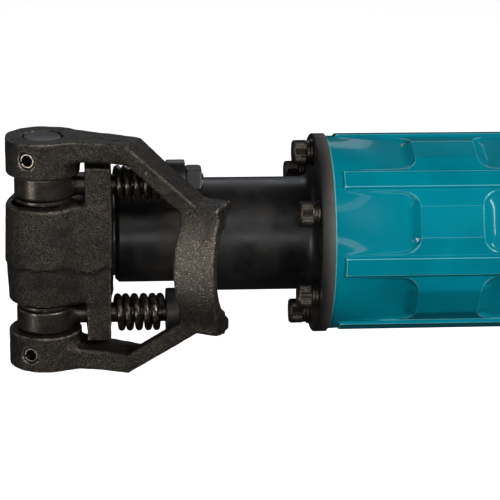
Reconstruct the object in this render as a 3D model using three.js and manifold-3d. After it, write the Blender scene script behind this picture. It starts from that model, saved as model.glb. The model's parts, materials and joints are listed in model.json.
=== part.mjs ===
// Heavy pneumatic hammer with a swing-over tool retainer.
// Millimetres. The tool axis is the X axis: the nose points to -X, the handle to +X, +Z is up.
// Pieces are drawn from the front of the front head's knuckle, X = 0, and the whole group is then moved
// so that the origin is at the middle of the tool. The retainer is on the -Y side.
import * as THREE from 'three';
import { mergeVertices } from 'three/addons/utils/BufferGeometryUtils.js';
import Module from 'manifold-3d';

const wasm = await Module();
wasm.setup();

// ---------- driving dimensions ----------
const GAP = 0.3;                                  // room left between neighbouring pieces
const MIDDLE = 321.25;                            // from the knuckle's front to the middle of the tool
const PIVOT = { x: 25, y: -28.6 };                // retainer pivot, parallel to Z
const SHAFT_R = 12.3;
const SHAFT_HALF = 73.6;
const KNUCKLE_R = 24.5;
const KNUCKLE_HALF = 33;
const SLIDE = 7;                                  // forward travel of the retainer
const PLATE = { x0: 50.5, x1: 67.1, y0: -43.8, y1: -12, half: 56.8 };
const EYE = { z: 42.25, z0: 36.1, z1: 50.6, r: 18, shank: 6.5 };
const EYE_WASHER = { z0: 33.3, z1: 35.4, r: 17.6 };
const SPRING = { x0: 67.5, x1: 100.7, mean: 9.75, wire: 2.3, turns: 5.4 };
const TOOL_HEX = 28.6;                            // across flats
const BUSHING_END = 105;                          // leaves the tappet room to come forward
const TOOL_BORE_R = 17.2;
const SLEEVE = { neckR: 26, r: 30.25, x0: 45.5, step: 71.4, x1: 118, spigotR: 27, end: 139.7 };
const BARREL = { x0: 118.3, x1: 204, r: 36.4, boreR: 24, fillet: 8 };
const FLANGE = { r: 64, thick: 8.2 };
const BOLT = { circle: 53.6, headR: 8, headLong: 9, r: 4.2, first: 30, end: 226 };
const WASHER = { r: 8.6, thick: 3.6 };
const HOUSING = { x0: 204.3, x1: 440, r: 64, boreR: 48.6, bands: 7, firstBand: 23, baseR: 62.4 };
const RAIL = { x0: 211, x1: 391, half: 5.4, top: 63.75 };
const POCKET = { floor: 58.6, half: 18.5, flare: 3, corner: 12 };
const YOKE_SWING = 25;                            // degrees outward from the tool axis
const EAR = { r: 23, z0: 51, z1: 74.8 };
const STRAP = { x0: 91, x1: 117.7, half: 41.2, crown: 10.5, crownR: 78, hollowR: 41 };
const BACKHEAD = { x0: 440.3, x1: 486 };
const HANDLE = { x0: 486.3, gripX: 622, half: 74, depth: 17 };
// The inlet reaches as far to +Y as the retainer does to -Y, so the tool axis is the middle of the box.
const INLET_END = 87.8565;
const LEVER = { x: 586, pinZ: 53 };

// ---------- materials ----------
function finish(color, roughness, metalness) {
  return new THREE.MeshStandardMaterial({ color, roughness, metalness });
}
const FORGED = finish(0x2c2722, 0.62, 0.6);
const BLACKED = finish(0x161616, 0.38, 0.7);
const SPRING_STEEL = finish(0x2b241e, 0.35, 0.8);
const GROUND = finish(0x8b8d8f, 0.28, 0.9);
const PAINT = finish(0x0a7f8c, 0.25, 0.1);
const BRONZE = finish(0x8c6a3c, 0.4, 0.8);
const RUBBER = finish(0x17181a, 0.8, 0);
const ZINC = finish(0x9a9c9d, 0.4, 0.85);

// ---------- solids ----------
function solid(geometry) {
  const bare = geometry.index ? geometry.toNonIndexed() : geometry.clone();
  bare.deleteAttribute('normal');
  bare.deleteAttribute('uv');
  const welded = mergeVertices(bare, 1e-4);
  const points = welded.attributes.position.array;
  const kept = [];
  let volume = 0;
  const corner = (i) => new THREE.Vector3(points[3 * i], points[3 * i + 1], points[3 * i + 2]);
  for (let i = 0; i < welded.index.count; i += 3) {
    const [a, b, c] = [0, 1, 2].map((k) => welded.index.getX(i + k));
    if (a === b || b === c || a === c) continue;
    kept.push(a, b, c);
    volume += corner(a).dot(corner(b).cross(corner(c)));
  }
  if (volume < 0) {
    for (let i = 0; i < kept.length; i += 3) {
      [kept[i + 1], kept[i + 2]] = [kept[i + 2], kept[i + 1]];
    }
  }
  return new wasm.Manifold(new wasm.Mesh({
    numProp: 3,
    vertProperties: Float32Array.from(points),
    triVerts: Uint32Array.from(kept),
  }));
}

const TURN = { x: [0, 0, -Math.PI / 2], y: [0, 0, 0], z: [Math.PI / 2, 0, 0] };

function place(geometry, axis, at) {
  const [rx, ry, rz] = TURN[axis];
  geometry.rotateX(rx).rotateY(ry).rotateZ(rz);
  geometry.translate(...at);
  return solid(geometry);
}

// A turned piece: profile of [along, radius] pairs, spun about a line through `at`.
function turned(profile, segments = 32, axis = 'x', at = [0, 0, 0]) {
  const points = profile.map(([along, radius]) => new THREE.Vector2(radius, along));
  return place(new THREE.LatheGeometry(points, segments), axis, at);
}

// A tube or ring; the profile loop is closed back on its first point.
function ring(x0, x1, outer, inner, segments = 32, axis = 'x', at = [0, 0, 0]) {
  return turned([[x0, inner], [x0, outer], [x1, outer], [x1, inner], [x0, inner]], segments, axis, at);
}

function rod(axis, a, b, radius, at, segments = 28) {
  return turned([[a, 0], [a, radius], [b, radius], [b, 0]], segments, axis, at);
}

function chamfered(axis, a, b, radius, bevel, at, segments = 28) {
  return turned(
    [[a, 0], [a, radius - bevel], [a + bevel, radius], [b - bevel, radius], [b, radius - bevel], [b, 0]],
    segments, axis, at,
  );
}

function box(x0, x1, y0, y1, z0, z1) {
  const g = new THREE.BoxGeometry(x1 - x0, y1 - y0, z1 - z0);
  g.translate((x0 + x1) / 2, (y0 + y1) / 2, (z0 + z1) / 2);
  return solid(g);
}

// A flat outline in the XZ plane, given thickness from y0 to y1.
function slabXZ(outline, y0, y1) {
  const shape = new THREE.Shape(outline.map(([x, z]) => new THREE.Vector2(x, z)));
  const g = new THREE.ExtrudeGeometry(shape, { depth: y1 - y0, bevelEnabled: false });
  g.rotateX(Math.PI / 2);
  g.translate(0, y1, 0);
  return solid(g);
}

// A flat outline in the XY plane, given height from z0 to z1.
function slabXY(outline, z0, z1) {
  const shape = new THREE.Shape(outline.map(([x, y]) => new THREE.Vector2(x, y)));
  const g = new THREE.ExtrudeGeometry(shape, { depth: z1 - z0, bevelEnabled: false });
  g.translate(0, 0, z0);
  return solid(g);
}

function hexRod(x0, x1, flats, at = [0, 0, 0], axis = 'x') {
  return turned([[x0, 0], [x0, flats / Math.sqrt(3)], [x1, flats / Math.sqrt(3)], [x1, 0]], 6, axis, at);
}

function join(...parts) {
  return parts.reduce((a, b) => a.add(b));
}

function cut(body, ...tools) {
  return tools.reduce((a, b) => a.subtract(b), body);
}

// A closed round-wire coil along the given axis.
function coil(x0, x1, mean, wire, turns, at, sides = 6, perTurn = 11) {
  const steps = Math.round(turns * perTurn);
  const points = [];
  const centre = [];
  for (let i = 0; i <= steps; i += 1) {
    const t = i / steps;
    const angle = t * turns * 2 * Math.PI;
    const along = x0 + wire + (x1 - x0 - 2 * wire) * t;
    centre.push([along, angle]);
    for (let s = 0; s < sides; s += 1) {
      const a = (s / sides) * 2 * Math.PI;
      const r = mean + wire * Math.cos(a);
      points.push(along + wire * Math.sin(a), r * Math.cos(angle), r * Math.sin(angle));
    }
  }
  const first = points.length / 3;
  for (const [along, angle] of [centre[0], centre[steps]]) {
    points.push(along, mean * Math.cos(angle), mean * Math.sin(angle));
  }
  const index = [];
  for (let i = 0; i < steps; i += 1) {
    for (let s = 0; s < sides; s += 1) {
      const a = i * sides + s;
      const b = i * sides + ((s + 1) % sides);
      index.push(a, b, a + sides, b, b + sides, a + sides);
    }
  }
  for (let s = 0; s < sides; s += 1) {
    const n = (s + 1) % sides;
    index.push(first, n, s, first + 1, steps * sides + s, steps * sides + n);
  }
  const g = new THREE.BufferGeometry();
  g.setAttribute('position', new THREE.Float32BufferAttribute(points, 3));
  g.setIndex(index);
  g.translate(...at);
  return solid(g);
}

// ---------- the assembly ----------
const group = new THREE.Group();
group.name = 'air_hammer';

function add(name, body, material) {
  const out = body.getMesh();
  const g = new THREE.BufferGeometry();
  g.setAttribute('position', new THREE.BufferAttribute(Float32Array.from(out.vertProperties), 3));
  g.setIndex(new THREE.BufferAttribute(Uint32Array.from(out.triVerts), 1));
  g.computeVertexNormals();
  const mesh = new THREE.Mesh(g, material);
  mesh.name = name;
  group.add(mesh);
}

const polar = (degrees, r) => {
  const a = THREE.MathUtils.degToRad(degrees);
  return [-r * Math.cos(a), r * Math.sin(a)];    // [y, z], measured up from the -Y side
};

// Front head: knuckle, bored body and the cross plate with its two wings.
const headOutline = [
  [9, -28], [9, 16], [20, 33], [60, 36], [60, -43.8], [36, -43.8], [25, -28],
];
const slot = join(
  rod('z', -90, 90, SHAFT_R + GAP, [PIVOT.x, PIVOT.y, 0]),
  rod('z', -90, 90, SHAFT_R + GAP, [PIVOT.x - SLIDE, PIVOT.y, 0]),
  box(PIVOT.x - SLIDE, PIVOT.x, PIVOT.y - SHAFT_R - GAP, PIVOT.y + SHAFT_R + GAP, -90, 90),
);
add('front_head', cut(
  join(
    chamfered('z', -KNUCKLE_HALF, KNUCKLE_HALF, KNUCKLE_R, 2.5, [PIVOT.x, PIVOT.y, 0], 40),
    slabXY(headOutline, -KNUCKLE_HALF, KNUCKLE_HALF),
    box(PLATE.x0, PLATE.x1, PLATE.y0, PLATE.y1, -PLATE.half, PLATE.half),
    chamfered('x', PLATE.x0, PLATE.x1, 37, 2, [0, 0, 0], 40),
  ),
  rod('x', -10, 80, TOOL_BORE_R, [0, 0, 0]),
  rod('x', SLEEVE.x0 - GAP, 80, SLEEVE.neckR + GAP, [0, 0, 0], 40),
  slot,
  rod('x', 40, 80, EYE.shank + GAP, [0, PIVOT.y, EYE.z]),
  rod('x', 40, 80, EYE.shank + GAP, [0, PIVOT.y, -EYE.z]),
), FORGED);

// Nose sleeve and the hexagonal wear bushing that guides the tool shank.
add('nose_sleeve', turned([
  [SLEEVE.x0, 22.3], [SLEEVE.x0, SLEEVE.neckR], [SLEEVE.step - 2, SLEEVE.neckR],
  [SLEEVE.step - 2, SLEEVE.r - 2.4], [SLEEVE.step + 0.6, SLEEVE.r], [SLEEVE.x1, SLEEVE.r],
  [SLEEVE.x1, SLEEVE.spigotR], [SLEEVE.end, SLEEVE.spigotR], [SLEEVE.end, 22.3], [SLEEVE.x0, 22.3],
], 44), BLACKED);
add('hex_bushing', cut(
  rod('x', SLEEVE.x0 + GAP, BUSHING_END, 22, [0, 0, 0], 32),
  hexRod(0, 130, TOOL_HEX + 0.6),
), BRONZE);

// Barrel with its bolted flange.
const face = BARREL.x1 - FLANGE.thick;
const fillet = [0, 1, 2, 3, 4].map((k) => {
  const a = (k / 4) * Math.PI / 2;
  return [
    face - BARREL.fillet + BARREL.fillet * Math.sin(a),
    BARREL.r + BARREL.fillet - BARREL.fillet * Math.cos(a),
  ];
});
const bolts = [0, 1, 2, 3, 4, 5].map((k) => polar(BOLT.first + 60 * k, BOLT.circle));
add('nose_barrel', cut(
  turned([
    [BARREL.x0, SLEEVE.spigotR + GAP], [BARREL.x0, BARREL.r - 1], [BARREL.x0 + 1, BARREL.r], ...fillet,
    [face, FLANGE.r - 0.8], [face + 0.8, FLANGE.r], [BARREL.x1, FLANGE.r], [BARREL.x1, BARREL.boreR],
    [SLEEVE.end + GAP, BARREL.boreR], [SLEEVE.end + GAP, SLEEVE.spigotR + GAP],
    [BARREL.x0, SLEEVE.spigotR + GAP],
  ], 48),
  ...bolts.map(([y, z]) => rod('x', face - 5, BARREL.x1 + 5, BOLT.r + GAP, [0, y, z], 12)),
), BLACKED);

bolts.forEach(([y, z], k) => {
  const seat = face - GAP - WASHER.thick - GAP;
  add(`flange_washer_${k + 1}`,
    ring(face - GAP - WASHER.thick, face - GAP, WASHER.r, BOLT.r + GAP, 16, 'x', [0, y, z]), BLACKED);
  add(`flange_screw_${k + 1}`, cut(
    turned([
      [seat - BOLT.headLong, 0], [seat - BOLT.headLong, BOLT.headR - 0.8],
      [seat - BOLT.headLong + 0.8, BOLT.headR], [seat, BOLT.headR], [seat, BOLT.r],
      [BOLT.end, BOLT.r], [BOLT.end, 0],
    ], 16, 'x', [0, y, z]),
    hexRod(seat - BOLT.headLong - 2, seat - 4, 7, [0, y, z]),
  ), BLACKED);
});

// Housing: round outside, seven lengthwise rails, rows of flat-bottomed octagonal pockets.
function pocket(band, x0, x1) {
  const wall = (d, grow) => {
    const h = POCKET.half + grow;
    const c = POCKET.corner;
    const a = x0 - grow;
    const b = x1 + grow;
    return [[a + c, -h], [b - c, -h], [b, -h + c], [b, h - c], [b - c, h], [a + c, h], [a, h - c], [a, -h + c]]
      .map(([x, w]) => [x, w, d]);
  };
  const low = wall(POCKET.floor, 0);
  const high = wall(POCKET.floor + 9, POCKET.flare * 1.6);
  const points = [...low, ...high].flat();
  const index = [];
  for (let i = 1; i < 7; i += 1) index.push(0, i + 1, i, 8, 8 + i, 9 + i);
  for (let i = 0; i < 8; i += 1) {
    const n = (i + 1) % 8;
    index.push(i, n, 8 + i, n, 8 + n, 8 + i);
  }
  const g = new THREE.BufferGeometry();
  g.setAttribute('position', new THREE.Float32BufferAttribute(points, 3));
  g.setIndex(index);
  g.rotateX(Math.PI / 2 - THREE.MathUtils.degToRad(band));
  return solid(g);
}
const pockets = [];
for (let band = 0; band < HOUSING.bands; band += 1) {
  const angle = HOUSING.firstBand + (360 / HOUSING.bands) * band;
  pockets.push(pocket(angle, 214, 252), pocket(angle, 302, 350));
}
const rails = [];
for (let band = 0; band < HOUSING.bands; band += 1) {
  rails.push(box(RAIL.x0, RAIL.x1, -RAIL.half, RAIL.half, 55, RAIL.top)
    .rotate([90 - HOUSING.firstBand - (360 / HOUSING.bands) * (band + 0.5), 0, 0]));
}
const exhaust = rod('y', 40, 80, 9, [418, 0, 0], 16);
add('housing', cut(
  join(
    cut(chamfered('x', HOUSING.x0, HOUSING.x1, HOUSING.baseR, 0.8, [0, 0, 0], 56), ...pockets),
    chamfered('x', 380, HOUSING.x1, HOUSING.r, 1.2, [0, 0, 0], 56),
    ...rails,
  ),
  rod('x', 190, 450, HOUSING.boreR, [0, 0, 0], 40),
  ...bolts.map(([y, z]) => rod('x', 195, BOLT.end + 1, BOLT.r + GAP, [0, y, z], 12)),
  exhaust,
), PAINT);

// Hammer mechanism.
add('cylinder_liner', cut(
  ring(BARREL.x1 + 0.6, 400, 48.3, 33, 40),
  rod('y', 20, 60, 5, [380, 0, 0], 16),
), GROUND);
add('piston', turned([
  [240, 0], [240, 15], [243, 18], [296, 18], [300, 32.6], [302, 32.6], [345, 32.6], [346, 31.6], [346, 0],
], 32), GROUND);
add('tappet', turned([
  [116, 0], [116, 14], [118, 16], [148, 16], [151, 23.6], [186, 23.6], [190, 19], [190, 0],
], 28), GROUND);
add('tappet_guide', ring(192, 203.6, 23.6, 18.6, 28), BRONZE);
add('valve_chest', cut(
  rod('x', 400.4, 420, 48.3, [0, 0, 0], 40),
  rod('x', 408, 430, 24, [0, 0, 0], 28),
  rod('x', 395, 415, 9, [0, 0, 0], 16),
  rod('x', 395, 425, 4, [0, 36, 0], 16),
  rod('x', 395, 425, 4, [0, -36, 0], 16),
), GROUND);
add('valve_disc', ring(410.5, 414.5, 23.6, 7, 28), GROUND);
add('valve_cover', cut(
  rod('x', 420.4, 430, 48.3, [0, 0, 0], 40),
  rod('x', 415, 435, 5, [0, 0, 14], 16),
  rod('x', 415, 435, 5, [0, 0, -14], 16),
  rod('x', 415, 435, 4, [0, 36, 0], 16),
  rod('x', 415, 435, 4, [0, -36, 0], 16),
), GROUND);
add('exhaust_deflector', cut(
  ring(392, 436, 69, HOUSING.r + GAP, 48),
  rod('y', 50, 90, 9, [418, 0, 0], 16),
), BLACKED);

// Backhead, with the air inlet on the +Y side.
const rearBolts = [45, 135, 225, 315].map((a) => polar(a, 56));
add('backhead', cut(
  join(
    turned([
      [430.4, 0], [430.4, 48.3], [BACKHEAD.x0, 48.3], [BACKHEAD.x0, 64], [452, 64], [458, 60],
      [BACKHEAD.x1, 46], [BACKHEAD.x1, 0],
    ], 44),
    rod('y', 0, 66, 19.6, [466, 0, 0], 28),
  ),
  rod('y', 20, 80, 14.3, [466, 0, 0], 24),
  rod('y', -10, 30, 9, [466, 0, 0], 16),
  rod('x', 420, 470, 9, [0, 0, 0], 16),
  rod('x', 460, 500, 8, [0, 0, 22], 16),
  rod('z', 0, 30, 6, [470, 0, 0], 16),
  ...rearBolts.map(([y, z]) => rod('x', 436, 450.3, 3.3, [0, y, z], 12)),
  ...rearBolts.map(([y, z]) => rod('x', 450, 480, 7, [0, y, z], 12)),
), BLACKED);
rearBolts.forEach(([y, z], k) => {
  add(`backhead_screw_${k + 1}`, cut(
    turned([[440.6, 0], [440.6, 3], [450.6, 3], [450.6, 6], [457, 6], [457, 0]], 16, 'x', [0, y, z]),
    hexRod(453.5, 460, 5, [0, y, z]),
  ), ZINC);
});
add('inlet_swivel', cut(
  turned([
    [31, 0], [31, 14], [66.5, 14], [66.5, 18], [74, 18], [74, 12.5], [INLET_END - 2, 12.5],
    [INLET_END, 11], [INLET_END, 0],
  ], 28, 'y', [466, 0, 0]),
  rod('y', 20, 120, 8, [466, 0, 0], 24),
), ZINC);
add('inlet_strainer', cut(
  rod('y', 34, 60, 7.7, [466, 0, 0], 24),
  rod('y', 36, 70, 6.7, [466, 0, 0], 24),
  rod('y', 30, 40, 3, [466, 0, 0], 16),
), BRONZE);

// Closed handle with its rubber grip, throttle lever and throttle valve.
const outside = [
  [HANDLE.x0, -40], [HANDLE.x0 + 22, -66], [540, -HANDLE.half], [628, -HANDLE.half], [642, -62], [642, 62],
  [628, HANDLE.half], [540, HANDLE.half], [HANDLE.x0 + 22, 66], [HANDLE.x0, 40],
];
const inside = [
  [514, -32], [536, -50], [608, -50], [608, 50], [536, 50], [514, 32],
];
const bar = HANDLE.gripX;
add('handle_frame', cut(
  slabXZ(outside, -HANDLE.depth, HANDLE.depth),
  slabXZ(inside, -40, 40),
  cut(
    box(600, 650, -40, 40, -50, 50),
    rod('z', -50.2, 50.2, 13, [bar, 0, 0]),
  ),
  rod('x', 516, 579, 7.3, [0, 0, 62], 20),
  rod('x', 575, 590, 3.4, [0, 0, 62], 16),
  box(579.8, 592.6, -5.3, 5.3, 40, 68.5),
  rod('y', -30, 30, 3, [LEVER.x, 0, LEVER.pinZ], 16),
  rod('x', 480, 510, 8, [0, 0, 22], 16),
  slabXZ([[496, 14], [528, 56], [519, 66], [487, 24]], -5, 5),
), FORGED);
add('handle_grip', ring(-49.7, 49.7, 19, 13.3, 28, 'z', [bar, 0, 0]), RUBBER);
add('throttle_lever', cut(
  join(
    slabXZ([[581.6, 66], [590.8, 66], [591, 42], [597, 34], [593, -34], [586, -38], [582, -30], [584, 36]],
      -5, 5),
    slabXZ([[590, 32], [597, 34], [593, -34], [586.5, -36]], -9, 9),
  ),
  rod('y', -30, 30, 3.1, [LEVER.x, 0, LEVER.pinZ], 16),
), BLACKED);
add('lever_pin', rod('y', -17, 17, 2.7, [LEVER.x, 0, LEVER.pinZ], 16), GROUND);
add('throttle_valve', turned([
  [556, 0], [556, 6.9], [562, 6.9], [566, 3.1], [581.3, 3.1], [581.3, 0],
], 20, 'x', [0, 0, 62]), BRONZE);
add('throttle_spring', coil(521, 555.6, 5.1, 1, 7.3, [0, 0, 62], 5, 10), SPRING_STEEL);
add('throttle_plug', rod('x', 516.3, 520.6, 7, [0, 0, 62], 20), ZINC);

// Swing-over retainer: two ears, two arms, one cross strap.
const yoke = cut(
  join(
    chamfered('z', EAR.z0, EAR.z1, EAR.r, 1.8, [0, 0, 0], 32),
    chamfered('z', -EAR.z1, -EAR.z0, EAR.r, 1.8, [0, 0, 0], 32),
    slabXZ([[0, 74.6], [0, 60], [57, 61.3], [66, 54.5], [66, 67.9], [57.5, 73.7], [40, 74.6]], -3, 20),
    slabXZ([[0, -74.6], [40, -74.6], [57.5, -73.7], [66, -67.9], [66, -54.5], [57, -61.3], [0, -60]], -3, 20),
    slabXZ([[55, 62.8], [57.5, 73.7], [105, 41.2], [STRAP.x1, 41.2], [STRAP.x1, 30], [92, 30], [91.7, 35]],
      -3.5, 15),
    slabXZ([[55, -62.8], [91.7, -35], [92, -30], [STRAP.x1, -30], [STRAP.x1, -41.2], [105, -41.2],
      [57.5, -73.7]], -3.5, 15),
    cut(
      slabXZ([[94, -36], [STRAP.x0, -22], [STRAP.x0, 22], [94, 36], [103, STRAP.half], [STRAP.x1, STRAP.half],
        [STRAP.x1, -STRAP.half], [103, -STRAP.half]], -12, 18)
        .intersect(rod('x', 60, 140, STRAP.crownR, [0, STRAP.crownR - STRAP.crown, 0], 96)),
      rod('x', 60, 140, STRAP.hollowR, [0, STRAP.hollowR - 2, 0], 56),
    ),
  ),
  rod('z', -90, 90, SHAFT_R + GAP, [0, 0, 0]),
  rod('y', -40, 40, 5.3, [0, 0, 63], 20),
  rod('y', -40, 40, 5.3, [0, 0, -63], 20),
);
const swing = (body) => body.rotate([0, 0, -YOKE_SWING]).translate([PIVOT.x, PIVOT.y, 0]);
add('retainer_yoke', swing(yoke), FORGED);
add('pivot_shaft', swing(cut(
  chamfered('z', -SHAFT_HALF, SHAFT_HALF, SHAFT_R, 1.2, [0, 0, 0], 28),
  rod('y', -40, 40, 5.3, [0, 0, 63], 20),
  rod('y', -40, 40, 5.3, [0, 0, -63], 20),
)), GROUND);
for (const [name, z] of [['upper', 63], ['lower', -63]]) {
  add(`roll_pin_${name}`, swing(cut(
    ring(-22, 22, 5, 3.7, 20, 'y', [0, 0, z]),
    box(-8, 0, -40, 40, z - 0.7, z + 0.7),
  )), BLACKED);
}
for (const [name, side] of [['upper', 1], ['lower', -1]]) {
  const at = [0, PIVOT.y, side * EYE.z];
  add(`eyebolt_${name}`, cut(
    join(
      chamfered('z', side > 0 ? EYE.z0 : -EYE.z1, side > 0 ? EYE.z1 : -EYE.z0, EYE.r, 1,
        [PIVOT.x, PIVOT.y, 0], 28),
      rod('x', 32, 126, EYE.shank, at, 20),
    ),
    rod('z', -90, 90, SHAFT_R + GAP, [PIVOT.x, PIVOT.y, 0]),
  ), FORGED);
  add(`eye_washer_${name}`, ring(
    side > 0 ? EYE_WASHER.z0 : -EYE_WASHER.z1,
    side > 0 ? EYE_WASHER.z1 : -EYE_WASHER.z0,
    EYE_WASHER.r, SHAFT_R + GAP, 28, 'z', [PIVOT.x, PIVOT.y, 0],
  ), BLACKED);
  add(`buffer_spring_${name}`,
    coil(SPRING.x0, SPRING.x1, SPRING.mean, SPRING.wire, SPRING.turns, at), SPRING_STEEL);
  add(`spring_seat_${name}`, cut(
    chamfered('x', 101, 112.7, 15, 0.8, at, 28),
    rod('x', 90, 120, EYE.shank + GAP, at, 20),
  ), BLACKED);
  add(`lock_nut_${name}`, cut(
    hexRod(113, 123, 21, at).intersect(chamfered('x', 113, 123, 11.8, 0.9, at, 24)),
    rod('x', 100, 130, EYE.shank + GAP, at, 20),
  ), BLACKED);
}

// The origin is on the tool axis at the middle of the tool's length.
group.position.x = -MIDDLE;

export default group;
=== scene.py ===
"""Heavy air hammer: forged nose, swing-over retainer, turned barrel, ribbed painted housing, closed handle.

Shapes are drawn in millimetres, with x from the front of the knuckle. Finished meshes are in metres, in
the frame.
"""
import json
import math

import bmesh
import bpy
import numpy as np
from mathutils import Matrix, Vector

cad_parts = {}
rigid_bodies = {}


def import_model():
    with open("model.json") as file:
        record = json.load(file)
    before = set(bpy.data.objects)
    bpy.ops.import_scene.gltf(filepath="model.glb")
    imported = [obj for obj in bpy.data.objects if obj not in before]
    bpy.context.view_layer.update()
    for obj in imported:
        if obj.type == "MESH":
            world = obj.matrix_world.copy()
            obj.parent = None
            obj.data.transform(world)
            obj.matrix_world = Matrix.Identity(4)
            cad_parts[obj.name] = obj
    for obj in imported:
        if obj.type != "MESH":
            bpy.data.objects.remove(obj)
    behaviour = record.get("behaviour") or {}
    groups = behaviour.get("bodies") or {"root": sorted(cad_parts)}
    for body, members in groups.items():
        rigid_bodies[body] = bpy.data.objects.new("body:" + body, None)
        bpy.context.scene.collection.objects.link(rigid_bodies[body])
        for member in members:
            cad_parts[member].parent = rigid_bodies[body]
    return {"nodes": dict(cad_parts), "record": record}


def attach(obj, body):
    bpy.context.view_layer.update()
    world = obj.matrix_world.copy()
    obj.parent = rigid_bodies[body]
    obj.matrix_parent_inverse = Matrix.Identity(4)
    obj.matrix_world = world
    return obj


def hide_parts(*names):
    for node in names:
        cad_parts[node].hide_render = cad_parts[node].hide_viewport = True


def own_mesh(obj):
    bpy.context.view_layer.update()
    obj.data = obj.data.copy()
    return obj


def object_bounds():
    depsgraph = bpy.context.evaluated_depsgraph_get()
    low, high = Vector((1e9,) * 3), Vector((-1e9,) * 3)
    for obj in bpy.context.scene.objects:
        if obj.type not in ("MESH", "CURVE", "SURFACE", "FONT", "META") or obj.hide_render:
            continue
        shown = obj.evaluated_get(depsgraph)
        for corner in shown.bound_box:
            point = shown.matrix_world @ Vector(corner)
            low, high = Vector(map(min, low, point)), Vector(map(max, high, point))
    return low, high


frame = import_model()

cad_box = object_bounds()
nodes = frame["nodes"]
MM = 0.001
# From the front of the knuckle, half a millimetre behind the front of the box, to the frame's origin.
SHIFT = Vector((cad_box[0][0] - 0.0005, 0.0, 0.0))

# ---------------------------------------------------------------- camera
AIM = Vector((0.1567, 0.0, -0.0115)) + SHIFT
DISTANCE = 1.3051
AZIMUTH, ELEVATION, ROLL = math.radians(-5.03), math.radians(18.27), math.radians(-0.82)

back = Vector((math.sin(AZIMUTH) * math.cos(ELEVATION), -math.cos(AZIMUTH) * math.cos(ELEVATION),
               math.sin(ELEVATION)))
level = Vector((math.cos(AZIMUTH), math.sin(AZIMUTH), 0.0))
above = back.cross(level)
right = level * math.cos(ROLL) - above * math.sin(ROLL)
top = level * math.sin(ROLL) + above * math.cos(ROLL)
camera_data = bpy.data.cameras.new("camera")
camera_data.lens = 145.4
camera_data.sensor_width = 36.0
camera_data.clip_start = 0.05
camera = bpy.data.objects.new("camera", camera_data)
facing = Matrix((right, top, back)).transposed().to_4x4()
camera.matrix_world = Matrix.Translation(AIM + back * DISTANCE) @ facing
bpy.context.scene.collection.objects.link(camera)
bpy.context.scene.camera = camera


# ---------------------------------------------------------------- material maths
class Shade:
    """A socket in a material's node tree, with arithmetic on its values."""

    def __init__(self, finish, socket):
        self.finish = finish
        self.socket = socket

    def _maths(self, op, *others):
        values = {"i%d" % k: v for k, v in enumerate((self,) + others)}
        return self.finish.node("ShaderNodeMath", {"operation": op}, **values)

    def __add__(self, other):
        return self._maths("ADD", other)

    __radd__ = __add__

    def __sub__(self, other):
        return self._maths("SUBTRACT", other)

    def __rsub__(self, other):
        return self._maths("MULTIPLY_ADD", -1.0, other)

    def __mul__(self, other):
        return self._maths("MULTIPLY", other)

    __rmul__ = __mul__

    def size(self):
        return self._maths("ABSOLUTE")

    def between(self, low, high, out_low=0.0, out_high=1.0):
        """Eases from out_low to out_high as the value goes from low to high."""
        return self.finish.node("ShaderNodeMapRange", {"interpolation_type": "SMOOTHSTEP"}, Value=self,
                                From_Min=low, From_Max=high, To_Min=out_low, To_Max=out_high)


class Finish:
    """One procedural finish: object-space patterns feeding a Principled surface."""

    def __init__(self, name, metallic=0.0, coat=0.0, coat_roughness=0.1, specular=0.5):
        self.material = bpy.data.materials.new(name)
        self.material.use_nodes = True
        self.tree = self.material.node_tree
        self.surface = self.tree.nodes["Principled BSDF"]
        self.surface.inputs["Metallic"].default_value = metallic
        self.surface.inputs["Coat Weight"].default_value = coat
        self.surface.inputs["Coat Roughness"].default_value = coat_roughness
        self.surface.inputs["Specular IOR Level"].default_value = specular
        self.place = self.node("ShaderNodeTexCoord", out="Object")

    def node(self, kind, settings=None, out=0, **values):
        """Adds a node: its settings first, then each socket, by name or as i0, i1, to a value or a link."""
        made = self.tree.nodes.new(kind)
        for key, value in (settings or {}).items():
            setattr(made, key, value)
        for key, value in values.items():
            place = made.inputs[int(key[1:])] if key[1:].isdigit() else made.inputs[key.replace("_", " ")]
            if isinstance(value, Shade):
                self.tree.links.new(value.socket, place)
            else:
                place.default_value = value
        return Shade(self, made.outputs[out])

    def axis(self, name):
        return self.node("ShaderNodeSeparateXYZ", out=name, i0=self.place)

    def stretched(self, factors):
        return self.node("ShaderNodeVectorMath", {"operation": "MULTIPLY"}, i0=self.place, i1=factors)

    def noise(self, millimetres, detail=3.0, rough=0.55, stretch=(1, 1, 1)):
        return self.node("ShaderNodeTexNoise", out="Fac", Vector=self.stretched(stretch),
                         Scale=1000.0 / millimetres, Detail=detail, Roughness=rough)

    def cells(self, millimetres):
        return self.node("ShaderNodeTexVoronoi", out="Distance", Vector=self.place,
                         Scale=1000.0 / millimetres)

    def edges(self):
        return self.node("ShaderNodeNewGeometry", out="Pointiness")

    def mix(self, low, high, amount):
        """From the low colour to the high one, as amount goes from 0 to 1."""
        low, high = (v if isinstance(v, Shade) else (*v, 1.0) for v in (low, high))
        return self.node("ShaderNodeMix", {"data_type": "RGBA"}, out=2, i0=amount, i6=low, i7=high)

    def set(self, name, value):
        if isinstance(value, Shade):
            self.tree.links.new(value.socket, self.surface.inputs[name])
        else:
            self.surface.inputs[name].default_value = value

    def colour(self, value):
        self.set("Base Color", value)

    def roughness(self, value):
        self.set("Roughness", value)

    def relief(self, height, millimetres, strength=1.0):
        self.set("Normal", self.node("ShaderNodeBump", out="Normal", Strength=strength,
                                     Distance=millimetres * MM, Height=height))


def toned(colour, tone):
    return tuple(tone * c for c in colour)


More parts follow.
